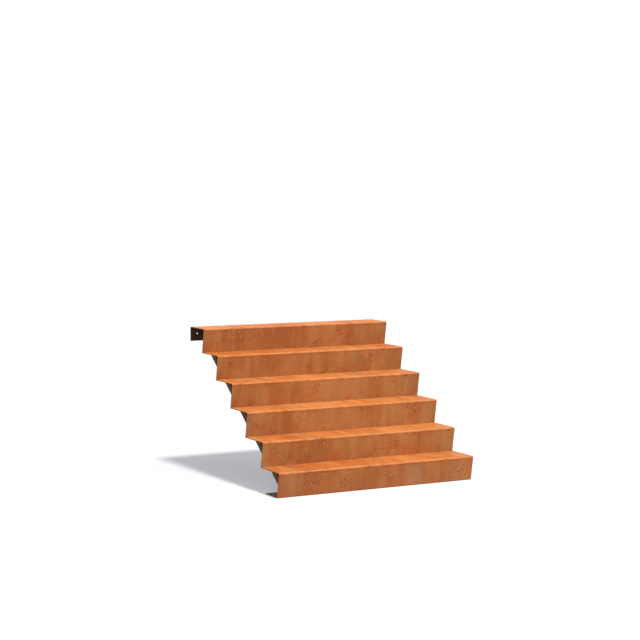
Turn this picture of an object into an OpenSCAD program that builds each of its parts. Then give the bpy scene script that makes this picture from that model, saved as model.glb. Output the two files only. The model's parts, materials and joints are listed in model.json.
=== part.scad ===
// Weathering steel garden staircase: folded steel steps welded one on the other,
// hung on a wall by the flange at the back of the top tread.
// Frame: +X across the treads to the right, +Y towards the wall, +Z up, millimetres.
// Origin: on the wall face of the wall flange, mid-width, on the line of its bolt holes.

/* [Staircase] */
// Width of the staircase across its treads
stair_w = 1500; // [600:10:2000]
// Number of steps from the ground to the top tread
step_count = 6; // [2:1:8]
// Height from one tread to the next
rise = 170; // [140:1:200]
// Depth from one nose to the next
going = 240; // [200:1:320]
// Height that a tread loses from its back to its nose, to shed water
tread_fall = 1; // [1:1:15]
// How far a nose stands out in front of the foot of its riser
riser_lean = 30; // [5:1:40]
// Depth of the top tread from its nose to the wall
top_tread_depth = 243; // [180:1:320]

/* [Steel plate] */
// Thickness of the folded plate
plate_t = 5; // [3:0.5:6]
// Inside radius of its folds
fold_r = 5; // [2:0.5:6]

/* [Base flange] */
// Depth of the flange that lies on the ground behind the first riser
base_flange_depth = 180; // [60:1:230]

/* [Wall flange] */
// Height of the flange that hangs down the wall from the top tread
wall_flange_h = 104; // [80:1:130]
// Diameter of its bolt holes
wall_hole_d = 11; // [8:0.5:18]
// Number of bolt holes
wall_hole_count = 4; // [2:1:6]
// Distance from each end of the flange to its outer bolt holes
wall_hole_inset = 53; // [20:1:150]
// Distance from the top edge of the flange down to its bolt holes
wall_hole_drop = 51; // [30:1:60]

/* [Gussets] */
// Thickness of the gusset plates
gusset_t = 5; // [3:0.5:6]
// Length of a gusset along the underside of its tread
gusset_tread_leg = 106; // [70:1:150]
// Length of a gusset along the back of its riser
gusset_riser_leg = 72; // [50:1:100]
// Length cut off along both legs at the fold
gusset_clip = 12; // [8:1:20]
// Height of the blunt ends of a gusset
gusset_toe = 4; // [2:0.5:8]

/* [Welds] */
// Leg of the bead behind each riser, and the ledge of tread that carries it
seam_leg = 4; // [2:0.5:5]
// Leg of the beads inside each gusset
gusset_bead_leg = 4; // [2:0.5:5]
// Length left without weld at the end of every bead
bead_stop = 5; // [2:1:10]

/* [Hidden] */
steps = [1:step_count];
seams = [1:step_count - 1];
// How far the cutter of a hole runs past both faces
through = 1;
// How far the circles of a fold run past its flats, so that they cross them cleanly
fold_bite = 0.01;
arc_fn = 64;

// Points of a step seen from its left end are [depth, height], measured from its nose
foot = [riser_lean, tread_fall - rise];
next_foot = foot + [going, rise];
tread_dir = unit(next_foot);
riser_dir = unit(-foot);
nose_angle = acos(tread_dir * -riser_dir);
wall_corner = tread_dir * top_tread_depth / tread_dir[0];
// Length that one plate thickness takes up along either plate at the nose
corner_run = plate_t / sin(nose_angle);
// Where the underside of the tread would meet the back of the riser
inner_corner = (tread_dir - riser_dir) * corner_run;
outer_r = fold_r + plate_t;
hole_pitch = (stair_w - 2 * wall_hole_inset) / (wall_hole_count - 1);

function unit(v) = v / norm(v);
function right_of(dir) = [dir[1], -dir[0]];

// Direction of the flat that leaves point k of a path
function leaving(path, k) = unit(path[k + 1] - path[k]);

// Inner face's point for point k of a path that runs along the outer face of a plate,
// which lies on the right of it
function inner_point(path, k, foot_skew) =
    let (last = len(path) - 1)
    k == 0 ? path[0] + plate_t * right_of(leaving(path, 0)) - foot_skew * leaving(path, 0)
    : k == last ? path[last] + plate_t * right_of(leaving(path, last - 1))
    : let (before = leaving(path, k - 1), after = leaving(path, k))
        path[k] + (after - before) * plate_t / sin(acos(before * after));

// Centre of the fold at point k of a path
function fold_centre(path, k) =
    let (before = leaving(path, k - 1), inset = outer_r - fold_bite)
    path[k] + right_of(before) * inset - before * inset * tan(acos(before * leaving(path, k)) / 2);

// Puts what is drawn from the nose of a step in its place
module at_nose(i)
    translate([0, 0, wall_hole_drop] - [0, wall_corner[0], wall_corner[1]]
        - (step_count - i) * [0, going, rise]) children();

// Side view to solid: depth and height become Y and Z, from x_start to x_end
module across(x_start, x_end)
    translate([x_start, 0, 0]) rotate([90, 0, 90]) linear_extrude(x_end - x_start) children();

// Pie slice between two directions that are less than half a turn apart
module slice(dir_a, dir_b, reach)
    polygon([[0, 0], reach * dir_a, reach * unit(dir_a + dir_b), reach * dir_b]);

// What the fold at point k of a path turns through, seen from its centre
module fold_slice(path, k)
    slice(-right_of(leaving(path, k - 1)), -right_of(leaving(path, k)), 3 * outer_r);

// Plate folded along a path of sharp outer corners, with its first edge cut askew
module folded_plate(path, foot_skew) {
    folds = [1:len(path) - 2];
    difference() {
        polygon(concat(path, [for (k = [len(path) - 1:-1:0]) inner_point(path, k, foot_skew)]));
        for (k = folds) translate(fold_centre(path, k)) difference() {
            fold_slice(path, k);
            circle(outer_r, $fn = arc_fn);
        }
    }
    for (k = folds) translate(fold_centre(path, k)) difference() {
        intersection() {
            fold_slice(path, k);
            circle(outer_r - 2 * fold_bite, $fn = arc_fn);
        }
        circle(fold_r, $fn = arc_fn);
    }
}

// One step: a riser and a tread in one plate. The first also has the base flange,
// the last the wall flange, and all but the first stand on a tread with a mitred foot.
module step(i) {
    base_edge = i == 1 ? [foot + [base_flange_depth, 0]] : [];
    tread_end = next_foot + tread_dir * (corner_run + seam_leg);
    back = i == step_count ? [wall_corner, wall_corner - [0, wall_flange_h]] : [tread_end];
    foot_skew = i == 1 ? 0 : plate_t / tan(nose_angle);
    color("#c06a33") difference() {
        at_nose(i) across(-stair_w / 2, stair_w / 2)
            folded_plate(concat(base_edge, [foot, [0, 0]], back), foot_skew);
        if (i == step_count) wall_holes();
    }
}

// Cutters of the bolt holes in the wall flange
module wall_holes()
    for (k = [0:wall_hole_count - 1])
        translate([wall_hole_inset - stair_w / 2 + k * hole_pitch, through, 0])
            rotate([90, 0, 0]) cylinder(h = plate_t + 2 * through, d = wall_hole_d, $fn = arc_fn);

// Bead behind the foot of the riser that stands on tread i
module seam_weld(i)
    color("#6e4630") at_nose(i) across(bead_stop - stair_w / 2, stair_w / 2 - bead_stop)
        translate(next_foot + tread_dir * corner_run) intersection() {
            circle(seam_leg, $fn = arc_fn);
            slice(tread_dir, riser_dir, 2 * seam_leg);
        }

// Clipped triangle under tread i, flush with the end of the step
module gusset(i, side) {
    tread_toe = inner_corner + tread_dir * gusset_tread_leg;
    riser_toe = inner_corner - riser_dir * gusset_riser_leg;
    color("#7a5640") on_side(side) at_nose(i) across(-stair_w / 2, gusset_t - stair_w / 2)
        polygon([
            inner_corner + tread_dir * gusset_clip,
            tread_toe,
            tread_toe + right_of(tread_dir) * gusset_toe,
            riser_toe + right_of(riser_dir) * gusset_toe,
            riser_toe,
            inner_corner - riser_dir * gusset_clip
        ]);
}

// The two beads on the inner face of a gusset, along its tread and along its riser
module gusset_weld(i, side) {
    clipped = gusset_clip + bead_stop;
    color("#6e4630") on_side(side) at_nose(i) translate([gusset_t - stair_w / 2, 0, 0]) {
        bead(tread_dir, clipped, gusset_tread_leg - bead_stop);
        bead(riser_dir, bead_stop - gusset_riser_leg, -clipped);
    }
}

// Quarter-round bead along a plate, between two distances from the inner corner
module bead(dir, start, end)
    rotate([90, 0, 90]) translate(inner_corner + dir * start) rotate(atan2(dir[1], dir[0]))
        rotate([0, 90, 0]) linear_extrude(end - start) intersection() {
            circle(gusset_bead_leg, $fn = arc_fn);
            translate([-gusset_bead_leg, -gusset_bead_leg]) square(gusset_bead_leg);
        }

// Pieces are drawn at the left end, and the right ones are their mirror images
module on_side(side)
    if (side == "left") children();
    else mirror([1, 0, 0]) children();

for (i = steps) step(i);
for (i = seams) seam_weld(i);
for (i = seams) gusset(i, "left");
for (i = seams) gusset(i, "right");
for (i = seams) gusset_weld(i, "left");
for (i = seams) gusset_weld(i, "right");
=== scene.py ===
import json
import math

import bmesh
import bpy
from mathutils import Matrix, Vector, noise


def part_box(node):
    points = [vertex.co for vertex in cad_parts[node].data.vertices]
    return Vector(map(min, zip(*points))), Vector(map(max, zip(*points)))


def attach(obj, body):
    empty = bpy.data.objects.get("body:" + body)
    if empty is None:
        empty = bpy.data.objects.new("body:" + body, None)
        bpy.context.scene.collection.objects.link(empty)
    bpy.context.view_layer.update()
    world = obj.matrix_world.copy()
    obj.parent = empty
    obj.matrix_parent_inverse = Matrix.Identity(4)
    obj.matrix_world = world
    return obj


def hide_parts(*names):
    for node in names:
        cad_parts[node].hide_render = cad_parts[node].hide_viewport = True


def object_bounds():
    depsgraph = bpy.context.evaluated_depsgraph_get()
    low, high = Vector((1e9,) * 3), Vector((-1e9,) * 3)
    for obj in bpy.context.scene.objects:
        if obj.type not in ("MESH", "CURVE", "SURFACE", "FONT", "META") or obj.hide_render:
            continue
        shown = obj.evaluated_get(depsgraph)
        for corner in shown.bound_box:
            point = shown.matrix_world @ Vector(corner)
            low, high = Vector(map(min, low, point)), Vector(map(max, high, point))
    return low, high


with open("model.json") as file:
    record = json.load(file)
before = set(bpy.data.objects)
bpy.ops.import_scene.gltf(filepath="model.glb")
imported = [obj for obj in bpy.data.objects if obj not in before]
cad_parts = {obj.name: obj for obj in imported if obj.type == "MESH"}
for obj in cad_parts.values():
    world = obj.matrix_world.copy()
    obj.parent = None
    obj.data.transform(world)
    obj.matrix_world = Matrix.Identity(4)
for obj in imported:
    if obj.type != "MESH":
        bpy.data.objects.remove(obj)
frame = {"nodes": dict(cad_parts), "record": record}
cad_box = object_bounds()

# Driving values of the plates, holes, gussets and beads, in metres
PLATE = 0.005
BEND_INSIDE = 0.005
BEND_OUTSIDE = BEND_INSIDE + PLATE
RISER_LEAN = 0.03
TREAD_FALL = 0.001
BASE_FLANGE = 0.18
TOP_TREAD = 0.243
WALL_FLANGE = 0.104
HOLE_RADIUS = 0.0055
HOLE_DROP = 0.051
TREAD_LEG = 0.106
RISER_LEG = 0.072
CLIP = 0.012
TOE = 0.004
BEAD = 0.004
BEAD_STOP = 0.005

# How finely the plates are made
BEND_TURN = math.radians(8)
SOFT_EDGE = 0.0004
SOFT_TURNS = 3
EDGE_ANGLES = [math.pi / 2 * k / SOFT_TURNS for k in range(SOFT_TURNS + 1)]
GUSSET_EDGE_TURNS = 2
NEAR_EDGE = (0.0015, 0.004, 0.008, 0.014, 0.022)
GRID = 0.02
PLACE_DIGITS = 7
EVEN_SHADING = 80

# Points that are closer to a face than this lie on it
TOUCH = 1e-5

# Square blocks of cells that the bolt holes are cut in, from the middle of a hole
BLOCK_HALF = 0.016
BLOCK_CELLS = 8
BLOCK_REACH = BLOCK_HALF * 1.01
BLOCK_CLEARING = BLOCK_HALF * 1.2

# How far a rolled plate strays from flat
WAVE_HEIGHT = 0.0005
WAVE_LENGTH = 0.32
WAVES_ALONG = 1.7
WAVE_MARGIN = 0.05
WAVE_END_FLAT = 0.3
WAVE_SHIFT = 5.3

# Ripples of the weld beads. The shifts give each bead ripples of its own
RIPPLE_PITCH = 0.0036
RIPPLE_STATIONS = 5
RIPPLE_DEPTH = 0.09
RIPPLE_BOW = 0.55
RIPPLE_FULLNESS = 0.6
DRIFTS_PER_METRE = 9
RIPPLE_DRIFT = 0.35
BUMPS_PER_METRE = 180
BUMPS_ACROSS = 2
BUMP_HEIGHT = 0.05
BEAD_TURNS = 7
BEAD_LAP = 0.05
BEAD_SINK = 0.0003
BEAD_TIP = 0.03
SEAM_SHIFT = 3.7
GUSSET_SHIFT = 1.9
LEG_SHIFT = 50

# How orange the open rust is, from 0 for old to 1 for new. Risers are kept older than treads, in
# part as painted shade, and the tops of the risers and the lowest riser are fresher as painted
# light
WALL_FACE_FRESH = 0.35
LOWEST_RISER_FRESH_AND_LIGHT = 0.6
RISER_TOP_LIGHT = 0.32
RISER_TOP_LIGHT_REACH = 0.11
NOSE_FRESH_REACH = 0.01

# How sheltered the wall face and the cut edges are, where an inner face counts as 1; shelter also
# brings in the painted shade of the inner faces
WALL_SHELTER = 0.5
WALL_SHELTER_REACH = 0.02
CUT_SHELTER = 0.5

# Which stretches of the endless rust pattern the steps are cut from, the lowest step first
CLOUD_CUTS = (7, 35, 27, 1, 24, 5)
STAIN_CUTS = (15, 23, 17, 8, 19, 4)
STEP_SHIFT = 3.7
CUT_SHIFT = 23.1

# What the frame says
STEPS = sorted(int(name.split("_")[1]) for name in frame["nodes"] if name.startswith("step_"))
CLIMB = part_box("step_2")[0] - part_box("step_1")[0]
HALF_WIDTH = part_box("step_1")[1].x
BOLT_SPACINGS = [
    mount["dims"]["spacing_x_mm"] / 1000
    for mount in frame["record"]["mounts"]
    if mount["name"].startswith("wall_bolts")
]
BOLT_XS = sorted(side * spacing / 2 for spacing in BOLT_SPACINGS for side in (-1, 1))

# Side view of a step, as (depth, height) from its sharp nose
RISER_DROP = CLIMB.z - TREAD_FALL
NOSE = Vector((0, 0))
FOOT = Vector((RISER_LEAN, -RISER_DROP))
NEXT_FOOT = FOOT + Vector((CLIMB.y, CLIMB.z))
TREAD_DIR = NEXT_FOOT.normalized()
RISER_DIR = -FOOT.normalized()
NOSE_ANGLE = TREAD_DIR.angle(-RISER_DIR)
CORNER_RUN = PLATE / math.sin(NOSE_ANGLE)
INNER_CORNER = (TREAD_DIR - RISER_DIR) * CORNER_RUN
WALL_CORNER = TREAD_DIR * (TOP_TREAD / TREAD_DIR.x)


def right_of(direction):
    return Vector((direction.y, -direction.x))


def smooth(value):
    """0 up to 0 and 1 from 1 on, with a smooth rise between."""
    value = min(max(value, 0), 1)
    return value * value * (3 - 2 * value)


def turned(start, end, share):
    """Direction that lies a share of the way from one direction to another."""
    turn = start.angle(end)
    mixed = start * math.sin((1 - share) * turn) + end * math.sin(share * turn)
    return mixed.normalized()


def place_in_frame(x, point):
    return Vector((x, point.x, point.y))


# ------------------------------------------------------ side view of a folded step


class Bend:
    """The round corner at one point of a path of sharp outer corners."""

    def __init__(self, before, corner, after):
        self.come = (corner - before).normalized()
        self.go = (after - corner).normalized()
        self.turn = self.come.angle(self.go)
        self.reach = BEND_OUTSIDE * math.tan(self.turn / 2)
        self.centre = corner - self.come * self.reach + right_of(self.come) * BEND_OUTSIDE

    def spokes(self):
        """Directions from the centre to the rows of the bend."""
        count = math.ceil(self.turn / BEND_TURN)
        start, end = -right_of(self.come), -right_of(self.go)
        return [turned(start, end, k / count) for k in range(count + 1)]


def nose_of(number):
    """Where the sharp nose of a step lies, as (depth, height) in the frame."""
    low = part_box(f"step_{number}")[0]
    bend = Bend(FOOT, NOSE, NEXT_FOOT)
    return Vector((low.y - bend.centre.x + BEND_OUTSIDE, low.z + RISER_DROP))


class Row:
    """Two facing points of a folded plate, on its outer and its inner face.

    A slack of 0 holds them where they are, and one of 1 leaves them free to stray from flat.
    """

    def __init__(self, outer, inner, along, slack=0):
        self.outer = outer
        self.inner = inner
        self.along = along
        self.out = (outer - inner).normalized()
        self.slack = slack


def step_path(number):
    """Sharp outer corners of a step, from its first free edge to its last."""
    base = [FOOT + Vector((BASE_FLANGE, 0))] if number == STEPS[0] else []
    tread_end = NEXT_FOOT + TREAD_DIR * (CORNER_RUN + BEAD)
    wall = [WALL_CORNER, WALL_CORNER - Vector((0, WALL_FLANGE))]
    back = wall if number == STEPS[-1] else [tread_end]
    return base + [FOOT, NOSE] + back


def spread(start, end, blocks=()):
    """Places between two ends: close together by the ends, then even, with set rows in blocks."""
    near = [start + d for d in NEAR_EDGE] + [end - d for d in NEAR_EDGE]
    first, last = start + NEAR_EDGE[-1], end - NEAR_EDGE[-1]
    count = max(1, round((last - first) / GRID))
    even = [first + (last - first) * k / count for k in range(1, count)]
    places = [p for p in near + even if all(abs(p - b) > BLOCK_CLEARING for b in blocks)]
    cells = range(BLOCK_CELLS + 1)
    places += [b + BLOCK_HALF * (2 * k / BLOCK_CELLS - 1) for b in blocks for k in cells]
    return sorted(set(round(p, PLACE_DIGITS) for p in places if start < p < end))


def flat_rows(start, direction, length, from_start, from_end, along, blocks, wavy):
    """Rows of one flat of a folded plate, between its bends or free edges."""
    rows = []
    for place in spread(from_start, length - from_end, blocks):
        outer = start + direction * place
        inner = outer + right_of(direction) * PLATE
        to_held = CLIMB.y - place if wavy == "tread" else length - place
        slack = smooth(min(place - from_start, to_held) / WAVE_MARGIN) if wavy else 0
        rows.append(Row(outer, inner, along + place, slack))
    return rows


def bend_rows(bend, along):
    """Rows round one bend, whose sharp corner lies at a length along the plate."""
    spokes = bend.spokes()
    rows = []
    for k, spoke in enumerate(spokes):
        place = along + bend.reach * (2 * k / (len(spokes) - 1) - 1)
        outer = bend.centre + spoke * BEND_OUTSIDE
        rows.append(Row(outer, bend.centre + spoke * BEND_INSIDE, place))
    return rows


def step_rows(number):
    """All rows of a step. Lengths along the plate are counted from the sharp nose."""
    path = step_path(number)
    nose = path.index(NOSE)
    bends = [Bend(*path[k - 1:k + 2]) for k in range(1, len(path) - 1)]
    lengths = [(b - a).length for a, b in zip(path, path[1:])]
    along = -sum(lengths[:nose])
    rows = []
    for k, length in enumerate(lengths):
        direction = (path[k + 1] - path[k]) / length
        from_start = bends[k - 1].reach if k else 0
        from_end = bends[k].reach if k < len(bends) else 0
        wavy = {nose - 1: "riser", nose: "tread"}.get(k)
        on_wall = number == STEPS[-1] and k == len(lengths) - 1
        blocks = [HOLE_DROP] if on_wall else []
        rows += flat_rows(path[k], direction, length, from_start, from_end, along, blocks, wavy)
        along += length
        if k < len(bends):
            rows += bend_rows(bends[k], along)
    return rows


def soft_corner(before, corner, after):
    """Points and outward directions round one softened corner of a section."""
    come, go = (corner - before).normalized(), (after - corner).normalized()
    reach = SOFT_EDGE * math.tan(come.angle(go) / 2)
    centre = corner - come * reach + right_of(come) * SOFT_EDGE
    turns = [turned(-right_of(come), -right_of(go), k / SOFT_TURNS) for k in range(SOFT_TURNS + 1)]
    return [(centre + out * SOFT_EDGE, out) for out in turns]


def outer_shelter(number, along):
    """How sheltered an outer face is: the wall face of the wall flange is, in part."""
    if number < STEPS[-1]:
        return 0.0
    return WALL_SHELTER * smooth((along - WALL_CORNER.length) / WALL_SHELTER_REACH)


class Section:
    """Closed outline of a folded plate: outer rows, last edge, inner rows back, first edge.

    Each of its points has its outward direction, its row, how sheltered it is, which also sets
    where shade is painted, and how far it counts as a cut edge.
    """

    def __init__(self, number):
        self.rows = step_rows(number)
        path = step_path(number)
        skew = 0 if number == STEPS[0] else PLATE / math.tan(NOSE_ANGLE)
        first = (path[1] - path[0]).normalized()
        last = (path[-1] - path[-2]).normalized()
        foot_inner = path[0] + right_of(first) * PLATE - first * skew
        end_inner = path[-1] + right_of(last) * PLATE
        bottom, top = self.rows[0], self.rows[-1]
        self.points = [(r.outer, r.out, r, outer_shelter(number, r.along), 0.0) for r in self.rows]
        self.add_edge(top.outer, path[-1], end_inner, top.inner, top)
        self.points += [(r.inner, -r.out, r, 1.0, 0.0) for r in reversed(self.rows)]
        self.add_edge(bottom.inner, foot_inner, path[0], bottom.outer, bottom)

    def add_edge(self, before, corner, next_corner, after, row):
        """Adds a cut edge with two softened corners. It stays straight where the flats wave."""
        straight = Row(row.outer, row.inner, row.along)
        around = soft_corner(before, corner, next_corner) + soft_corner(corner, next_corner, after)
        self.points += [(point, out, straight, CUT_SHELTER, 1.0) for point, out in around]

    def inner_index(self, k):
        """Place in the outline of the inner point of row k."""
        return len(self.rows) + 2 * (SOFT_TURNS + 1) + len(self.rows) - 1 - k


# --------------------------------------------------------------- meshes and pieces


class Shell:
    """Vertices, faces and finish values of one piece while it is made."""

    def __init__(self):
        self.vertices = []
        self.faces = []
        self.finish = {}

    def add(self, place, **finish):
        self.vertices.append(place)
        for name, value in finish.items():
            self.finish.setdefault(name, []).append(value)
        return len(self.vertices) - 1

    def bridge(self, ring, next_ring, skip=()):
        """Joins two closed rings with a band of faces, apart from the cells to skip."""
        for k in range(len(ring)):
            if k not in skip:
                m = (k + 1) % len(ring)
                self.faces.append((ring[k], ring[m], next_ring[m], next_ring[k]))

    def piece(self, name, look, slot, *replaced):
        mesh = bpy.data.meshes.new(name)
        mesh.from_pydata(self.vertices, [], self.faces)
        store_finish(mesh, self.finish)
        return finished(name, mesh, look, replaced)


def store_finish(mesh, finish):
    """Keeps the finish values of a mesh's vertices as attributes that its material reads."""
    for label, values in finish.items():
        mesh.attributes.new(label, "FLOAT", "POINT").data.foreach_set("value", values)


def finished(name, mesh, look, replaced):
    """Turns a mesh into a piece that stands for CAD nodes of the frame."""
    model = bmesh.new()
    model.from_mesh(mesh)
    bmesh.ops.recalc_face_normals(model, faces=model.faces)
    model.to_mesh(mesh)
    model.free()
    mesh.shade_smooth()
    mesh.materials.append(look)
    piece = bpy.data.objects.new(name, mesh)
    bpy.context.scene.collection.objects.link(piece)
    weighted = piece.modifiers.new("even_shading", "WEIGHTED_NORMAL")
    weighted.weight = EVEN_SHADING
    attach(piece, "root")
    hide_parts(*replaced)
    return piece


# ------------------------------------------------------------------- folded steps


def folded_step(number, look):
    """One step as a bent plate with soft edges, and bolt holes where it has a wall flange."""
    section = Section(number)
    holes = BOLT_XS if number == STEPS[-1] else []
    shell = Shell()
    places = stations(holes)
    rings = [step_ring(shell, section, number, x, inset) for x, inset in places]
    drilled = drill_holes(shell, section, rings, places, holes) if holes else {}
    for k in range(len(rings) - 1):
        shell.bridge(rings[k], rings[k + 1], skip=drilled.get(k, ()))
    close_end(shell, section, rings[0])
    close_end(shell, section, rings[-1])
    name = f"step_{number}"
    return shell.piece(f"folded_{name}", look, "folded_plate", name)


def stations(blocks):
    """Places across the width, each with how far the softened end draws the section in."""
    end = [(HALF_WIDTH - SOFT_EDGE + SOFT_EDGE * math.sin(a), SOFT_EDGE * (1 - math.cos(a)))
           for a in EDGE_ANGLES]
    middle = spread(-HALF_WIDTH + SOFT_EDGE, HALF_WIDTH - SOFT_EDGE, blocks)
    return [(-x, inset) for x, inset in reversed(end)] + [(x, 0) for x in middle] + end


def step_ring(shell, section, number, x, inset):
    """The section of a step at one place across its width."""
    nose = nose_of(number)
    ring = []
    for point, out, row, sheltered, cut in section.points:
        spot = nose + point - out * inset + wave(x, row, number)
        edge = max(cut, inset / SOFT_EDGE)
        ring.append(shell.add(place_in_frame(x, spot), sheltered=sheltered, cut_edge=edge,
                              **plate_finish(number, row.along)))
    return ring


def wave(x, row, number):
    """How far a rolled plate strays from flat, away from its bends and ends."""
    if not row.slack:
        return Vector((0, 0))
    slack = row.slack * smooth((HALF_WIDTH - abs(x)) / WAVE_MARGIN - WAVE_END_FLAT)
    along = row.along / WAVE_LENGTH * WAVES_ALONG
    spot = Vector((x / WAVE_LENGTH, along, number * WAVE_SHIFT))
    return row.out * (WAVE_HEIGHT * slack * noise.noise(spot))


def plate_finish(number, along):
    """Finish values that both faces of a step share at a length along its plate."""
    return {
        "along": along,
        "fresh": freshness_and_light(number, along),
        "carrying": float(number < STEPS[-1]),
        "splashed": float(number == STEPS[0] and along < 0),
        "clouds": pattern_cut(number, CLOUD_CUTS),
        "stains": pattern_cut(number, STAIN_CUTS),
    }


def freshness_and_light(number, along):
    """How orange the rust is: treads more than risers, in part as painted shade on the risers. The
    tops of the risers and the lowest riser are fresher as painted light, and the wall flange is
    dull.
    """
    if along > WALL_CORNER.length:
        return WALL_FACE_FRESH
    # Painted light: each riser grows fresher towards its top, evening out the light that reaches
    # its foot from the tread below
    riser = RISER_TOP_LIGHT * smooth(1 + along / RISER_TOP_LIGHT_REACH)
    # Painted light: the lowest riser is fresher than the others, for the different light it gets
    # from the floor
    if number == STEPS[0]:
        riser = LOWEST_RISER_FRESH_AND_LIGHT
    return max(smooth(along / NOSE_FRESH_REACH), riser)


def pattern_cut(number, cuts):
    return number * STEP_SHIFT + cuts[number - 1] * CUT_SHIFT


def close_end(shell, section, ring):
    """Fills the cut end of a plate between its outer and its inner rows."""
    count = len(section.rows)
    for k in range(count - 1):
        a, b = section.inner_index(k), section.inner_index(k + 1)
        shell.faces.append((ring[k], ring[k + 1], ring[b], ring[a]))
    shell.faces.append(ring[count - 1:section.inner_index(count - 1) + 1])
    shell.faces.append(ring[section.inner_index(0):] + [ring[0]])


# --------------------------------------------------------------------- bolt holes


def drill_holes(shell, section, rings, places, holes):
    """Cuts round holes in blocks of the wall flange. Returns the outline cells left out."""
    rows = [k for k, row in enumerate(section.rows) if crosses_blocks(row)]
    outer_cells = set(range(rows[0], rows[-1]))
    inner_cells = set(range(section.inner_index(rows[-1]), section.inner_index(rows[0])))
    drilled = {}
    for x in holes:
        columns = [k for k, (place, _) in enumerate(places) if abs(place - x) < BLOCK_REACH]
        for k in range(columns[0], columns[-1]):
            drilled[k] = outer_cells | inner_cells
        line_hole(shell, section, rings, block_border(columns, rows), x)
    return drilled


def crosses_blocks(row):
    """Whether a row lies on the wall flange, within the height of the blocks."""
    on_flange = abs(row.outer.x - WALL_CORNER.x) < TOUCH
    return on_flange and abs(row.outer.y - WALL_CORNER.y + HOLE_DROP) < BLOCK_REACH


def block_border(columns, rows):
    """Once round a block of cells, as pairs of a ring and a row."""
    first, last = columns[0], columns[-1]
    low, high = rows[0], rows[-1]
    return ([(k, low) for k in range(first, last)]
            + [(last, r) for r in range(low, high)]
            + [(k, high) for k in range(last, first, -1)]
            + [(first, r) for r in range(high, low, -1)])


def line_hole(shell, section, rings, border, x):
    """Rings from the border of a block down through one bolt hole and out to the other face."""
    outer = [rings[k][r] for k, r in border]
    inner = [rings[k][section.inner_index(r)] for k, r in border]
    around = [shell.vertices[i] - Vector((x, 0, 0)) for i in outer]
    bearings = [Vector((p.x, 0, p.z)).normalized() for p in around]
    profile = hole_profile()
    near = {name: values[outer[0]] for name, values in shell.finish.items()}
    far = dict(near, sheltered=shell.finish["sheltered"][inner[0]])
    ring = outer
    for k, (radius, depth) in enumerate(profile):
        mouth = k in (0, len(profile) - 1)
        finish = dict(far if depth > PLATE / 2 else near, cut_edge=0.0 if mouth else 1.0)
        middle = Vector((x, -depth, 0))
        next_ring = [shell.add(middle + bearing * radius, **finish) for bearing in bearings]
        shell.bridge(ring, next_ring)
        ring = next_ring
    shell.bridge(ring, inner)


def hole_profile():
    """Radius and depth of the rings of a bolt hole, which has a softened lip at both faces."""
    lip = [(HOLE_RADIUS + SOFT_EDGE * (1 - math.sin(a)), SOFT_EDGE * (1 - math.cos(a)))
           for a in EDGE_ANGLES]
    return lip + [(radius, PLATE - depth) for radius, depth in reversed(lip)]


# ------------------------------------------------------------------------ gussets


def gusset(number, side, look):
    """Clipped triangle of plate under a tread, flush with the end of the step."""
    name = f"gusset_{side}_{number}"
    low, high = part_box(name)
    nose = nose_of(number)
    corners = gusset_corners()
    model = bmesh.new()
    front = [model.verts.new(place_in_frame(low.x, nose + c)) for c in corners]
    back = [model.verts.new(place_in_frame(high.x, nose + c)) for c in corners]
    model.faces.new(front)
    model.faces.new(back)
    for k in range(len(corners)):
        m = (k + 1) % len(corners)
        model.faces.new((front[k], front[m], back[m], back[k]))
    bmesh.ops.recalc_face_normals(model, faces=model.faces)
    bmesh.ops.bevel(model, geom=model.edges, offset=SOFT_EDGE, segments=GUSSET_EDGE_TURNS,
                    profile=0.5, affect="EDGES")
    mesh = bpy.data.meshes.new(name)
    model.to_mesh(mesh)
    model.free()
    outside = high.x if side == "right" else low.x
    add_gusset_finish(mesh, nose, outside)
    return finished(f"plate_{name}", mesh, look, [name])


def gusset_corners():
    """Outline of a gusset, as (depth, height) from the sharp nose of its step."""
    tread_toe = INNER_CORNER + TREAD_DIR * TREAD_LEG
    riser_toe = INNER_CORNER - RISER_DIR * RISER_LEG
    return [
        INNER_CORNER + TREAD_DIR * CLIP,
        tread_toe,
        tread_toe + right_of(TREAD_DIR) * TOE,
        riser_toe + right_of(RISER_DIR) * TOE,
        riser_toe,
        INNER_CORNER - RISER_DIR * CLIP,
    ]


def add_gusset_finish(mesh, nose, outside):
    """Distances from the two welded legs, the cut edges, and all that is not the outside face."""
    finish = {"from_tread": [], "from_riser": [], "cut_edge": [], "sheltered": []}
    for vertex in mesh.vertices:
        spot = Vector((vertex.co.y, vertex.co.z)) - nose - INNER_CORNER
        from_face = abs(vertex.co.x - outside)
        finish["from_tread"].append(spot.dot(right_of(TREAD_DIR)))
        finish["from_riser"].append(spot.dot(right_of(RISER_DIR)))
        finish["cut_edge"].append(float(TOUCH < from_face < PLATE - TOUCH))
        finish["sheltered"].append(float(from_face > TOUCH))
    store_finish(mesh, finish)


# -------------------------------------------------------------------- weld beads


def lay_bead(shell, start, end, wall_a, wall_b, shift):
    """A rippled fillet bead between two plates that meet along a line."""
    axis = (end - start).normalized()
    length = (end - start).length
    count = round(length / RIPPLE_PITCH * RIPPLE_STATIONS)
    root = -(wall_a + wall_b).normalized() * BEAD_SINK
    ring = None
    for k in range(count + 1):
        place = length * k / count
        middle = start + axis * place
        leg = BEAD * bead_taper(min(place, length - place))
        next_ring = [shell.add(middle + root, valley=1.0)]
        for turn in range(BEAD_TURNS + 1):
            share = -BEAD_LAP + (1 + 2 * BEAD_LAP) * turn / BEAD_TURNS
            out = turned(wall_a, wall_b, share)
            crest = ripple_crest(place, share, shift)
            fullness = bead_fullness(place, share, shift, crest)
            next_ring.append(shell.add(middle + out * (leg * fullness), valley=1 - crest))
        if ring:
            shell.bridge(ring, next_ring)
        else:
            shell.faces.append(next_ring)
        ring = next_ring
    shell.faces.append(ring)


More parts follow.
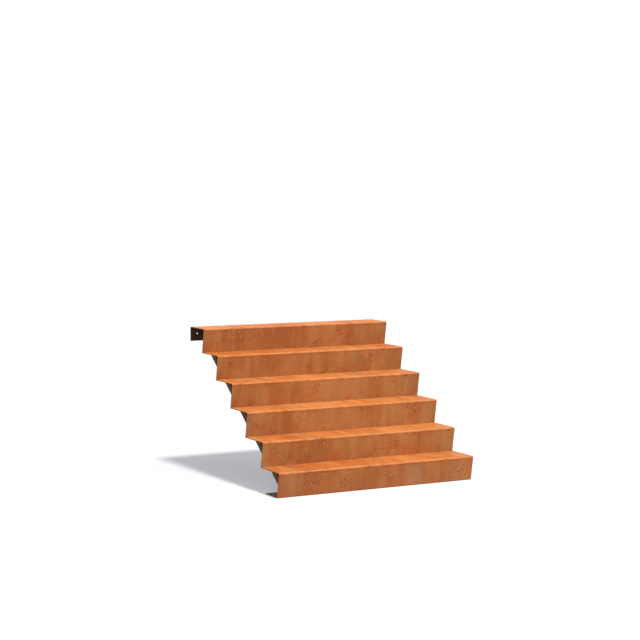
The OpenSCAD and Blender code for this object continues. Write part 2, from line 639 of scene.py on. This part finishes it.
def bead_taper(from_end):
    """How much of its leg a bead has, at a distance from its nearer end."""
    return math.sqrt(max(BEAD_TIP, 1 - max(0, 1 - from_end / BEAD) ** 2))


def ripple_crest(place, share, shift):
    """1 on the crest of a ripple and 0 in the valley. Ripples bow back at the walls and drift."""
    bow = RIPPLE_BOW * (1 - (2 * share - 1) ** 2)
    drift = noise.noise(Vector((place * DRIFTS_PER_METRE, shift, share)))
    phase = place / RIPPLE_PITCH - bow + RIPPLE_DRIFT * drift
    return abs(math.sin(math.pi * phase)) ** RIPPLE_FULLNESS


def bead_fullness(place, share, shift, crest):
    """How much of its leg a bead has at one point of its ripples."""
    bump = noise.noise(Vector((place * BUMPS_PER_METRE, share * BUMPS_ACROSS, shift)))
    return 1 - RIPPLE_DEPTH * (1 - crest) + BUMP_HEIGHT * bump


def seam_bead(number, look):
    """Bead behind the foot of the riser that stands on a tread."""
    name = f"seam_weld_{number}"
    low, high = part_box(name)
    root = nose_of(number) + NEXT_FOOT + TREAD_DIR * CORNER_RUN
    ends = [place_in_frame(x, root) for x in (low.x, high.x)]
    shell = Shell()
    lay_bead(shell, *ends, place_in_frame(0, TREAD_DIR), place_in_frame(0, RISER_DIR),
             number * SEAM_SHIFT)
    return shell.piece(f"rippled_{name}", look, "weld_bead", name)


def gusset_beads(number, side, look):
    """The two beads on the inner face of a gusset, along its tread and along its riser."""
    low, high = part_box(f"gusset_{side}_{number}")
    inward = Vector((1, 0, 0)) if side == "left" else Vector((-1, 0, 0))
    face = high.x if side == "left" else low.x
    corner = nose_of(number) + INNER_CORNER
    start = CLIP + BEAD_STOP
    legs = [
        (TREAD_DIR, right_of(TREAD_DIR), TREAD_LEG),
        (-RISER_DIR, right_of(RISER_DIR), RISER_LEG),
    ]
    shell = Shell()
    for direction, away, leg in legs:
        ends = [place_in_frame(face, corner + direction * d) for d in (start, leg - BEAD_STOP)]
        lay_bead(shell, *ends, inward, place_in_frame(0, away),
                 number * GUSSET_SHIFT + leg * LEG_SHIFT)
    name = f"gusset_weld_{side}_{number}"
    return shell.piece(f"rippled_{name}", look, "weld_bead", name)


# ------------------------------------------------------------------- node recipes


class Signal:
    """One socket of a recipe; arithmetic on it adds Math nodes."""

    def __init__(self, recipe, socket):
        self.recipe = recipe
        self.socket = socket

    def math(self, operation, first, second):
        sockets = {"Value": first, "Value_001": second}
        return self.recipe.node("Math", {"operation": operation}, sockets)

    def __add__(self, other):
        return self.math("ADD", self, other)

    def __sub__(self, other):
        return self.math("SUBTRACT", self, other)

    def __rsub__(self, other):
        return self.math("SUBTRACT", other, self)

    def __mul__(self, other):
        return self.math("MULTIPLY", self, other)

    def __or__(self, other):
        return self.math("MAXIMUM", self, other)

    def __abs__(self):
        return self.math("ABSOLUTE", self, 0)

    __radd__ = __add__
    __rmul__ = __mul__


def swing(pattern, strength):
    """A noise pattern moved to swing about 0, half its strength either way."""
    return strength * (pattern - 0.5)


class Recipe:
    """Node tree of a material or the world."""

    def __init__(self, owner):
        owner.use_nodes = True
        self.tree = owner.node_tree
        self.tree.nodes.clear()

    def node(self, kind, settings, sockets, output=None):
        made = self.tree.nodes.new("ShaderNode" + kind)
        for name, value in settings.items():
            setattr(made, name, value)
        for socket in made.inputs:
            if socket.identifier in sockets:
                self.feed(socket, sockets[socket.identifier])
        found = [s for s in made.outputs if s.enabled and output in (None, s.identifier)]
        return Signal(self, found[0]) if found else None

    def feed(self, socket, value):
        if isinstance(value, Signal):
            self.tree.links.new(value.socket, socket)
        else:
            socket.default_value = value

    def attribute(self, name):
        return self.node("Attribute", {"attribute_name": name}, {}, "Fac")

    def place(self):
        return self.node("TexCoord", {}, {}, "Object")

    def looked_at(self):
        """1 where floor or world is seen, straight or in gloss, and 0 where it gives light."""
        rays = [self.node("LightPath", {}, {}, f"Is {ray} Ray")
                for ray in ("Camera", "Glossy", "Transmission")]
        return rays[0] | rays[1] | rays[2]

    def scaled(self, vector, factors, shift=(0, 0, 0)):
        sockets = {"Vector": vector, "Vector_001": factors, "Vector_002": shift}
        return self.node("VectorMath", {"operation": "MULTIPLY_ADD"}, sockets)

    def grain(self, vector, per_metre, detail=2.0, roughness=0.5, distortion=0.0, cut=0.0):
        """Noise; each number of cut gives a pattern of its own."""
        sockets = {"Vector": vector, "W": cut, "Scale": per_metre, "Detail": detail,
                   "Roughness": roughness, "Distortion": distortion}
        return self.node("TexNoise", {"noise_dimensions": "4D"}, sockets, "Fac")

    def cells(self, vector, per_metre, output="Distance"):
        return self.node("TexVoronoi", {}, {"Vector": vector, "Scale": per_metre}, output)

    def rise(self, value, low, high):
        """0 below low and 1 above high, with a smooth rise; it falls if low is above high."""
        settings = {"interpolation_type": "SMOOTHSTEP"}
        sockets = {"Value": value, "From Min": low, "From Max": high}
        return self.node("MapRange", settings, sockets, "Result")

    def blend(self, mask, low, high):
        settings = {"data_type": "RGBA"}
        sockets = {"Factor_Float": mask, "A_Color": low, "B_Color": high}
        return self.node("Mix", settings, sockets, "Result_Color")

    def tint(self, colour, factor, mask=1.0):
        settings = {"data_type": "RGBA", "blend_type": "MULTIPLY"}
        sockets = {"Factor_Float": mask, "A_Color": colour, "B_Color": factor}
        return self.node("Mix", settings, sockets, "Result_Color")

    def grey(self, value):
        """A value as a colour that darkens or lightens others."""
        sockets = {"Red": value, "Green": value, "Blue": value}
        return self.node("CombineColor", {}, sockets)

    def bump(self, height, distance):
        return self.node("Bump", {}, {"Height": height, "Distance": distance})

    def surface(self, colour, roughness, normal, gloss):
        sockets = {"Base Color": colour, "Roughness": roughness, "Normal": normal,
                   "Specular IOR Level": gloss}
        shader = self.node("BsdfPrincipled", {}, sockets)
        self.node("OutputMaterial", {}, {"Surface": shader})


# ---------------------------------------------------------------------- open rust

OLD_RED = (0.5, 0.193, 0.056, 1)
OLD_OLIVE = (0.584, 0.293, 0.104, 1)
NEW_RED = (0.727, 0.19, 0.034, 1)
NEW_OCHRE = (0.812, 0.28, 0.063, 1)
DULL_STAIN = (0.4, 0.215, 0.1, 1)
RED_STAIN = (0.64, 0.18, 0.045, 1)
DARK_SPECK = (0.32, 0.075, 0.008, 1)
CROWD_RED = (0.5, 0.13, 0.035, 1)
PALE_SPECK = (0.88, 0.55, 0.24, 1)

# Noise patterns: features a metre, levels of detail, roughness and distortion
CLOUDS = (2.6, 3, 0.6, 0.15)
BANDS = (13, 2, 0.5, 0.0)
DULL_BANDS = (7, 3, 0.55, 0.3)
RED_PATCHES = (9, 3, 0.55, 0.4)
CROWDS = (7.5, 2, 0.5, 0.0)
RUNS = (62, 2, 0.6)
MOTTLE = (38, 4, 0.62, 0.4)
FINE_GRAIN = (230, 3, 0.6)
BLOTS = (75, 3, 0.6, 0.8)
WOBBLE = (45, 2)
JAGS = (120, 1)
DARK_PLACES = (33, 1)
PALE_PLACES = (14, 1)

# How far patterns are drawn out across the stair, in depth and in height
CLOUD_STRETCH = (1, 0.4, 0.5)
HANGING_STRETCH = (1, 0.3, 0.25)
SHEET_STRETCH = (1, 0.12, 0.08)
DARK_STRETCH = (1, 1, 0.8)
PALE_STRETCH = (1, 1, 0.5)
WOBBLE_REACH = 0.012
JAG_REACH = 0.01

# Cells a metre
SHEETS = 15
DARK_CELLS = 62
PALE_CELLS = 41

# Where a pattern begins and is full
OLIVE_COVER = (0.37, 0.63)
DULL_COVER = (0.52, 0.72)
RED_COVER = (0.52, 0.7)
CROWD_COVER = (0.46, 0.68)
DARK_PLACE_COVER = (0.44, 0.56)
PALE_PLACE_COVER = (0.48, 0.58)
DARK_DOT = (0.42, 0.26)
PALE_DOT = (0.3, 0.05)

# How far patterns carry the rust from red to olive
BAND_HUE = 0.3
SHEET_HUE = 0.08

# How strong patterns are. The second number of a pair is added on new rust or in a crowd
DULL_STRENGTH = (0.5, -0.15)
RED_STRENGTH = 0.5
CROWD_STRENGTH = (0.4, -0.2)
DARK_STRENGTH = (0.15, 0.8)
PALE_STRENGTH = (0.25, 0.4)

# How far patterns darken and lighten the rust, with what new rust adds to the sheets
CLOUD_SHADE = 0.36
RUN_SHADE = 0.17
MOTTLE_SHADE = 0.32
FINE_SHADE = 0.16
SHEET_SHADE = (0.05, 0.09)
BAND_SHADE = 0.4
BLOT_SHADE = 0.55

# How far the cuts for stains are moved, so that dull and red stains fall apart
DULL_SHIFT = 2.3
RED_SHIFT = 4.1


def varied(pair, mask):
    """First number of a pair where a mask is 0, and the sum of both where it is 1."""
    return pair[0] + pair[1] * mask


class OpenRust:
    """Rust of the faces that stand in the rain: olive to red, with stains, runs and specks.

    Its sheets are tall narrow cells, and the maths reads the random colour of each as a grey.
    """

    def __init__(self, recipe, place):
        self.recipe = recipe
        self.place = place
        # How fresh the rust is; on the risers this also carries painted light and shade
        self.fresh = recipe.attribute("fresh")
        self.stain = recipe.attribute("stains")
        cut = recipe.attribute("clouds")
        self.hanging = recipe.scaled(place, HANGING_STRETCH)
        self.clouds = recipe.grain(recipe.scaled(place, CLOUD_STRETCH), *CLOUDS, cut)
        self.bands = recipe.grain(self.hanging, *BANDS, cut)
        self.wobble = recipe.grain(place, *WOBBLE) * WOBBLE_REACH
        sheets = recipe.scaled(place, SHEET_STRETCH, cut + self.wobble)
        self.sheets = recipe.cells(sheets, SHEETS, "Color")
        self.crowd = recipe.rise(recipe.grain(place, *CROWDS, self.stain), *CROWD_COVER)

    def colour(self):
        colour = self.ground()
        colour = self.stained(colour)
        colour = self.recipe.tint(colour, self.recipe.grey(1 + self.shade()))
        crowding = self.crowd * varied(CROWD_STRENGTH, self.fresh)
        colour = self.recipe.blend(crowding, colour, CROWD_RED)
        colour = self.dark_specks(colour)
        return self.pale_specks(colour)

    def ground(self):
        """Red to olive, duller on old rust than on new. How new it looks also carries painted
        light and shade on the risers.
        """
        recipe = self.recipe
        hue = self.clouds + swing(self.bands, BAND_HUE) + swing(self.sheets, SHEET_HUE)
        olive = recipe.rise(hue, *OLIVE_COVER)
        old = recipe.blend(olive, OLD_RED, OLD_OLIVE)
        new = recipe.blend(olive, NEW_RED, NEW_OCHRE)
        return recipe.blend(self.fresh, old, new)

    def stained(self, colour):
        """Adds dull stains that hang down and red patches."""
        recipe = self.recipe
        dull = recipe.grain(self.hanging, *DULL_BANDS, self.stain + DULL_SHIFT)
        strength = varied(DULL_STRENGTH, self.fresh)
        colour = recipe.blend(recipe.rise(dull, *DULL_COVER) * strength, colour, DULL_STAIN)
        red = recipe.grain(self.place, *RED_PATCHES, self.stain + RED_SHIFT)
        return recipe.blend(recipe.rise(red, *RED_COVER) * RED_STRENGTH, colour, RED_STAIN)

    def shade(self):
        """How much lighter or darker the rust is, from broad clouds to fine grain."""
        recipe = self.recipe
        runs = recipe.grain(self.hanging, *RUNS)
        mottle = recipe.grain(self.place, *MOTTLE)
        fine = recipe.grain(self.place, *FINE_GRAIN)
        broad = swing(self.clouds, CLOUD_SHADE) + swing(runs, RUN_SHADE)
        plain = broad + swing(mottle, MOTTLE_SHADE) + swing(fine, FINE_SHADE)
        in_sheets = swing(self.sheets, varied(SHEET_SHADE, self.fresh))
        return plain + in_sheets + swing(self.bands, BAND_SHADE * self.fresh)

    def dark_specks(self, colour):
        """Adds ragged dark red specks and blots, mostly in crowds."""
        recipe = self.recipe
        jags = recipe.grain(self.place, *JAGS) * JAG_REACH
        jagged = recipe.scaled(self.place, DARK_STRETCH, self.wobble + jags)
        dots = recipe.rise(recipe.cells(jagged, DARK_CELLS), *DARK_DOT)
        few = recipe.rise(recipe.grain(self.place, *DARK_PLACES), *DARK_PLACE_COVER)
        colour = recipe.blend(dots * few * varied(DARK_STRENGTH, self.crowd), colour, DARK_SPECK)
        blots = swing(recipe.grain(self.place, *BLOTS), BLOT_SHADE * self.crowd)
        return recipe.tint(colour, recipe.grey(1 + blots))

    def pale_specks(self, colour):
        """Adds a few short pale drips."""
        recipe = self.recipe
        marks = recipe.cells(recipe.scaled(self.place, PALE_STRETCH), PALE_CELLS)
        dots = recipe.rise(marks, *PALE_DOT)
        few = recipe.rise(recipe.grain(self.place, *PALE_PLACES), *PALE_PLACE_COVER)
        return recipe.blend(dots * few * varied(PALE_STRENGTH, self.crowd), colour, PALE_SPECK)


# ---------------------------------------------------------------------- finishes

# Finishes of the sheltered faces: dark scale and brown rust, darker in part as painted shade
SHADE_RUST = (0.12, 0.055, 0.03, 1)
SHADE_SCALE = (0.07, 0.04, 0.026, 1)
SHADE_BLOOM = (0.2, 0.075, 0.032, 1)
# Near black: the tint of the welds, and painted shade in the fold by the gussets
HEAT_AND_SHADE_TINT = (0.012, 0.006, 0.004, 1)
SHADE_PATCHES = (9, 4, 0.6, 0.6)
SHADE_BLOOMS = (26, 4, 0.65, 0.5)
PATCH_COVER = (0.4, 0.6)
BLOOM_COVER = (0.56, 0.72)
BLOOM_STRENGTH = 0.6
HEAT_AND_SHADE_STRENGTH = 0.9

# What steps and gussets share, and their gloss
PLATE_RAGS = (120, 3)
SHELTER_RAGS = 0.5
SHELTER_COVER = (0.3, 0.8)
CUT_STRENGTH = 0.95
PLATE_PITS = (420, 3, 0.65)
PLATE_SCALE = (90, 3, 0.6)
SCALE_SHARE = 0.8
PLATE_RELIEF = 0.00025
PLATE_ROUGHNESS = 0.62
ROUGHNESS_SWING = 0.3
STEP_GLOSS = 0.27
GUSSET_GLOSS = 0.08


def sheltered_and_shaded_steel(recipe, place, heat_and_shade):
    """Colour of the faces behind and below: dark scale with brown rust, in part painted shade,
    tinted by the welds and by painted shade near them.
    """
    patches = recipe.grain(place, *SHADE_PATCHES)
    blooms = recipe.grain(place, *SHADE_BLOOMS)
    colour = recipe.blend(recipe.rise(patches, *PATCH_COVER), SHADE_SCALE, SHADE_RUST)
    bloomed = recipe.rise(blooms, *BLOOM_COVER) * BLOOM_STRENGTH
    colour = recipe.blend(bloomed, colour, SHADE_BLOOM)
    return recipe.blend(heat_and_shade * HEAT_AND_SHADE_STRENGTH, colour, HEAT_AND_SHADE_TINT)


def finish_plate(recipe, place, rained, sheltered, cut, gloss):
    """Surface of rusted plate, from the colours of its open, its sheltered and its cut faces; the
    sheltered colours are in part painted shade.
    """
    ragged = recipe.grain(place, *PLATE_RAGS)
    shelter = recipe.attribute("sheltered") + swing(ragged, SHELTER_RAGS)
    # Painted shade, in part: faces behind and below take the dark sheltered colour
    colour = recipe.blend(recipe.rise(shelter, *SHELTER_COVER), rained, sheltered)
    colour = recipe.blend(recipe.attribute("cut_edge") * CUT_STRENGTH, colour, cut)
    relief = recipe.grain(place, *PLATE_PITS) + SCALE_SHARE * recipe.grain(place, *PLATE_SCALE)
    roughness = PLATE_ROUGHNESS + swing(ragged, ROUGHNESS_SWING)
    recipe.surface(colour, roughness, recipe.bump(relief, PLATE_RELIEF), gloss)


# Finishes of the steps
# Pale nose: wear, and in part a painted highlight of the bend
NOSE_WEAR_AND_HIGHLIGHT = (0.925, 0.336, 0.104, 1)
# Redder and darker patches just below the nose
BELOW_NOSE_RED = (1.0, 0.82, 0.7, 1)
BELOW_NOSE_DARK = (0.86, 0.72, 0.6, 1)
# Paler towards the back of each tread
TREAD_BACK_PALE = (1.0, 1.06, 1.15, 1)
# Painted sheen: the top tread is paler, for its reflection of the bright surroundings at a low
# angle
TOP_TREAD_SHEEN = (1.06, 1.06, 1.14, 1)
# Painted light: the lowest riser is paler and bluer, for the light it gets from the floor
LOWEST_RISER_LIGHT = (1.03, 1.01, 1.17, 1)
CUT_RUST = (0.17, 0.07, 0.018, 1)
RISER_CUT = (0.32, 0.16, 0.065, 1)
# Painted shade: near black, for the hollow at the clipped corner of each gusset
CAVITY_SHADE = (0.004, 0.001, 0.0, 1)
NOSE_PATCHES = (22, 3, 0.6)
BELOW_NOSE_PATCHES = (30, 2)
BELOW_NOSE_SPOTS = (26, 2)
NOSE_COVER = (0.33, 0.6)
BELOW_NOSE_PATCH_COVER = (0.3, 0.6)
BELOW_NOSE_SPOT_COVER = (0.52, 0.64)
NOSE_WEAR_AND_HIGHLIGHT_STRENGTH = 0.85

# Where finishes of the steps begin and are full, in metres along the plate from the sharp nose
NOSE_PALE_FROM_RISER = (-0.01, -0.001)
NOSE_PALE_FROM_TREAD = (0.034, 0.006)
BELOW_NOSE_FROM_NOSE = (-0.003, -0.009)
BELOW_NOSE_FROM_FOOT = (-0.03, -0.012)
TREAD_BACK_FROM_NOSE = (0.13, 0.22)
TOP_SHEEN_FROM_NOSE = (0.0, 0.03)
CAVITY_SHADE_FROM_TREAD = (0.006, 0.001)
CAVITY_SHADE_FROM_RISER = (-0.024, -0.016)
RISER_CUT_FROM_NOSE = (-0.05, -0.08)

# Where the welds tint the steps, from the lines of the seams and the legs; by the legs the tint is
# also painted shade in the fold
FOOT_HEAT = (0.014, 0.003)
BACK_HEAT = (0.016, 0.004)
END_HEAT = (0.018, 0.006)
LEG_HEAT = 0.01


def step_look():
    """Folded plate: rust in front with a paler tread back, a nose pale from wear and a painted
    highlight, redder and darker patches below the nose, a painted sheen on the top tread and
    painted light on the lowest riser; dark scale behind, in part painted shade.
    """
    look = bpy.data.materials.new("rusted_plate")
    recipe = Recipe(look)
    place = recipe.place()
    along = recipe.attribute("along")
    carrying = recipe.attribute("carrying")
    rained = OpenRust(recipe, place).colour()
    rained = below_nose_tinted(recipe, place, along, rained)
    rained = paled_and_lit(recipe, along, carrying, rained)
    rained = worn_and_highlit(recipe, place, along, rained)
    sheltered = sheltered_and_shaded_steel(recipe, place, step_heat_and_shade(recipe, place, along, carrying))
    cut = step_cut(recipe, along, carrying)
    finish_plate(recipe, place, rained, sheltered, cut, STEP_GLOSS)
    return look


def below_nose_tinted(recipe, place, along, colour):
    """Makes patches just below the nose redder and darker."""
    under_nose = recipe.rise(along, *BELOW_NOSE_FROM_NOSE) * recipe.rise(along, *BELOW_NOSE_FROM_FOOT)
    marks = under_nose * recipe.rise(recipe.grain(place, *BELOW_NOSE_PATCHES), *BELOW_NOSE_PATCH_COVER)
    colour = recipe.tint(colour, BELOW_NOSE_RED, mask=marks)
    dark_patches = under_nose * recipe.rise(recipe.grain(place, *BELOW_NOSE_SPOTS), *BELOW_NOSE_SPOT_COVER)
    return recipe.tint(colour, BELOW_NOSE_DARK, mask=dark_patches)


def paled_and_lit(recipe, along, carrying, colour):
    """Makes the back of the treads paler, paints a sheen on the top tread, and paints light on the
    lowest riser.
    """
    colour = recipe.tint(colour, TREAD_BACK_PALE, mask=recipe.rise(along, *TREAD_BACK_FROM_NOSE))
    # Painted sheen on the top tread
    on_top = (1 - carrying) * recipe.rise(along, *TOP_SHEEN_FROM_NOSE)
    colour = recipe.tint(colour, TOP_TREAD_SHEEN, mask=on_top)
    # Painted light on the lowest riser
    return recipe.tint(colour, LOWEST_RISER_LIGHT, mask=recipe.attribute("splashed"))


def worn_and_highlit(recipe, place, along, colour):
    """Adds a pale, patchy strip along the nose: wear, and in part a painted highlight."""
    edge = recipe.rise(along, *NOSE_PALE_FROM_RISER) * recipe.rise(along, *NOSE_PALE_FROM_TREAD)
    patchy = recipe.rise(recipe.grain(place, *NOSE_PATCHES), *NOSE_COVER)
    return recipe.blend(edge * patchy * NOSE_WEAR_AND_HIGHLIGHT_STRENGTH, colour, NOSE_WEAR_AND_HIGHLIGHT)


def step_cut(recipe, along, carrying):
    """Colour of the cut ends: near black by the clipped corner of a gusset as painted shade, paler
    down the riser.
    """
    cut = recipe.blend(recipe.rise(along, *RISER_CUT_FROM_NOSE), CUT_RUST, RISER_CUT)
    # Painted shade in the hollow by the clipped corner
    shaded_corner = recipe.rise(along, *CAVITY_SHADE_FROM_RISER) * recipe.rise(along, *CAVITY_SHADE_FROM_TREAD)
    return recipe.blend(carrying * shaded_corner, cut, CAVITY_SHADE)


def step_heat_and_shade(recipe, place, along, carrying):
    """Where a step is tinted by its seams, and by the legs of its gussets, where the tint is also
    painted shade in the fold.
    """
    foot = recipe.rise(abs(along + FOOT.length), *FOOT_HEAT)
    back = recipe.rise(abs(along - NEXT_FOOT.length), *BACK_HEAT)
    x = recipe.node("SeparateXYZ", {}, {"Vector": place}, "X")
    end = recipe.rise(HALF_WIDTH - abs(x), *END_HEAT)
    on_tread = recipe.rise(along, TREAD_LEG + LEG_HEAT, TREAD_LEG)
    on_riser = recipe.rise(along, -RISER_LEG - LEG_HEAT, -RISER_LEG)
    # Painted shade: the inner fold by each gusset is darkened along with the weld tint
    return foot | (back | end * on_tread * on_riser) * carrying


# Finishes of the gussets, with distances in metres from their welded legs. Their dark grey and
# brown are in part painted shade
GUSSET_GREY = (0.095, 0.065, 0.032, 1)
GUSSET_BROWN = (0.14, 0.053, 0.036, 1)
LEG_RUST = (0.17, 0.042, 0.008, 1)
GUSSET_PATCHES = (32, 4, 0.6, 0.5)
LEG_COVER = (0.25, 0.5)
LEG_STRENGTH = 0.8
RUST_FROM_TREAD = (0.016, 0.004)
RUST_FROM_RISER = (0.02, 0.004)
CAVITY_SHADE_FROM_LEGS = (0.036, 0.026)
HEAT_FROM_LEGS = (0.014, 0.003)


def gusset_look():
    """Small plates under the treads: dull dark brown, in part painted shade, redder along the
    legs, and near black at the clip as painted shade.
    """
    look = bpy.data.materials.new("rusted_gusset")
    recipe = Recipe(look)
    place = recipe.place()
    from_tread, from_riser = recipe.attribute("from_tread"), recipe.attribute("from_riser")
    patches = recipe.grain(place, *GUSSET_PATCHES)
    # Painted shade, in part: the open face is a dark dull brown
    open_face = recipe.blend(recipe.rise(patches, *PATCH_COVER), GUSSET_GREY, GUSSET_BROWN)
    legs = recipe.rise(from_tread, *RUST_FROM_TREAD) | recipe.rise(from_riser, *RUST_FROM_RISER)
    rusty = legs * recipe.rise(patches, *LEG_COVER) * LEG_STRENGTH
    open_face = recipe.blend(rusty, open_face, LEG_RUST)
    # Painted shade: near black in the hollow by the clipped corner
    corner = recipe.rise(from_tread + from_riser, *CAVITY_SHADE_FROM_LEGS)
    open_face = recipe.blend(corner, open_face, CAVITY_SHADE)
    heat_and_shade = recipe.rise(from_tread, *HEAT_FROM_LEGS) | recipe.rise(from_riser, *HEAT_FROM_LEGS)
    cut = recipe.blend(corner, CUT_RUST, CAVITY_SHADE)
    sheltered = sheltered_and_shaded_steel(recipe, place, heat_and_shade)
    finish_plate(recipe, place, open_face, sheltered, cut, GUSSET_GLOSS)
    return look


# Finishes of the beads
BEAD_SCALE = (0.13, 0.08, 0.06, 1)
BEAD_RUST = (0.34, 0.14, 0.06, 1)
BEAD_PATCHES = (60, 3, 0.6)
BEAD_GRAIN = (500, 2)
VALLEY_RUST = 0.5
BEAD_COVER = (0.5, 0.8)
BEAD_RELIEF = 0.0001
BEAD_ROUGHNESS = (0.45, 0.25)
BEAD_GLOSS = 0.5


def bead_look():
    """Weld bead: dark scale on the crests, rust in the valleys."""
    look = bpy.data.materials.new("rusted_weld")
    recipe = Recipe(look)
    place = recipe.place()
    patches = recipe.grain(place, *BEAD_PATCHES)
    rust = recipe.rise(patches + VALLEY_RUST * recipe.attribute("valley"), *BEAD_COVER)
    colour = recipe.blend(rust, BEAD_SCALE, BEAD_RUST)
    relief = recipe.grain(place, *BEAD_GRAIN)
    roughness = varied(BEAD_ROUGHNESS, rust)
    recipe.surface(colour, roughness, recipe.bump(relief, BEAD_RELIEF), BEAD_GLOSS)
    return look


# ------------------------------------------------------------ floor, light, camera

# Light of the sun and of the sky
SUN_TRAVEL = Vector((-0.0705, 0.445, -1))
SUN_STRENGTH = 1.95
SUN_SPREAD = math.radians(9)
SKY_STRENGTH = 0.5
SKY_TINT = (0.98, 0.985, 1.02, 1)
WHITE = (1, 1, 1, 1)

# Floor, with painted light that grows from the back left to the front right and lightens the
# stair's shadow there
FLOOR_SIZE = 50
FLOOR_COLOUR = (0.88, 0.875, 0.862, 1)
FLOOR_BOUNCE = (0.42, 0.42, 0.42, 1)
FAR_LIFT = (0.127, 0.127, 0.15, 1)
NEAR_LIFT = (0.262, 0.269, 0.295, 1)
LIFT_SLOPE = (0.095, -0.11, 0)
LIFT_ENDS = (-0.11, 0.09)

# Camera, with its stand in metres and its lens and sensor in millimetres
CAMERA_AZIMUTH = math.radians(-27.8031)
CAMERA_ELEVATION = math.radians(4.5225)
CAMERA_STAND = Vector((-5.349913, -10.734355, 1.019698))
CAMERA_LENS = 90.8209
CAMERA_SENSOR = 36


def lay_floor(height):
    """Plain floor under the stair."""
    half = FLOOR_SIZE / 2
    corners = [(-half, -half, height), (half, -half, height),
               (half, half, height), (-half, half, height)]
    mesh = bpy.data.meshes.new("floor")
    mesh.from_pydata(corners, [], [(0, 1, 2, 3)])
    mesh.materials.append(floor_look())
    floor = bpy.data.objects.new("floor", mesh)
    bpy.context.scene.collection.objects.link(floor)


def floor_look():
    """Pale where it is seen, with painted light that lightens its shadow towards the stair, and
    dull as a light.
    """
    look = bpy.data.materials.new("pale_floor")
    recipe = Recipe(look)
    pale = recipe.node("BsdfDiffuse", {}, {"Color": FLOOR_COLOUR})
    slope = recipe.node("VectorMath", {"operation": "DOT_PRODUCT"},
                        {"Vector": recipe.place(), "Vector_001": LIFT_SLOPE}, "Value")
    far, near = (recipe.node("Emission", {}, {"Color": lift, "Strength": 1})
                 for lift in (FAR_LIFT, NEAR_LIFT))
    sockets = {"Fac": recipe.rise(slope, *LIFT_ENDS), "Shader": far, "Shader_001": near}
    lift = recipe.node("MixShader", {}, sockets)
    lifted = recipe.node("AddShader", {}, {"Shader": pale, "Shader_001": lift})
    dull = recipe.node("BsdfDiffuse", {}, {"Color": FLOOR_BOUNCE})
    sockets = {"Fac": recipe.looked_at(), "Shader": dull, "Shader_001": lifted}
    shader = recipe.node("MixShader", {}, sockets)
    recipe.node("OutputMaterial", {}, {"Surface": shader})
    return look


def light_scene():
    """Soft sky, white where it is seen, and one sun."""
    world = bpy.data.worlds.new("studio")
    bpy.context.scene.world = world
    recipe = Recipe(world)
    white = recipe.looked_at()
    colour = recipe.blend(white, SKY_TINT, WHITE)
    strength = SKY_STRENGTH + (1 - SKY_STRENGTH) * white
    shader = recipe.node("Background", {}, {"Color": colour, "Strength": strength})
    recipe.node("OutputWorld", {}, {"Surface": shader})
    sun = bpy.data.lights.new("sun", "SUN")
    sun.energy = SUN_STRENGTH
    sun.angle = SUN_SPREAD
    lamp = bpy.data.objects.new("sun", sun)
    lamp.rotation_mode = "QUATERNION"
    lamp.rotation_quaternion = SUN_TRAVEL.to_track_quat("-Z", "Y")
    bpy.context.scene.collection.objects.link(lamp)


def place_camera():
    camera = bpy.data.cameras.new("camera")
    camera.lens = CAMERA_LENS
    camera.sensor_width = CAMERA_SENSOR
    back = Vector((
        math.sin(CAMERA_AZIMUTH) * math.cos(CAMERA_ELEVATION),
        -math.cos(CAMERA_AZIMUTH) * math.cos(CAMERA_ELEVATION),
        math.sin(CAMERA_ELEVATION),
    ))
    stand = bpy.data.objects.new("camera", camera)
    stand.location = CAMERA_STAND
    stand.rotation_mode = "QUATERNION"
    stand.rotation_quaternion = (-back).to_track_quat("-Z", "Y")
    bpy.context.scene.collection.objects.link(stand)
    bpy.context.scene.camera = stand


def build_stair():
    step_plate = step_look()
    gusset_plate = gusset_look()
    weld = bead_look()
    for number in STEPS:
        folded_step(number, step_plate)
    for number in STEPS[:-1]:
        seam_bead(number, weld)
        for side in ("left", "right"):
            gusset(number, side, gusset_plate)
            gusset_beads(number, side, weld)


build_stair()
lay_floor(cad_box[0].z)
light_scene()
place_camera()
bpy.context.scene.view_settings.view_transform = "Standard"
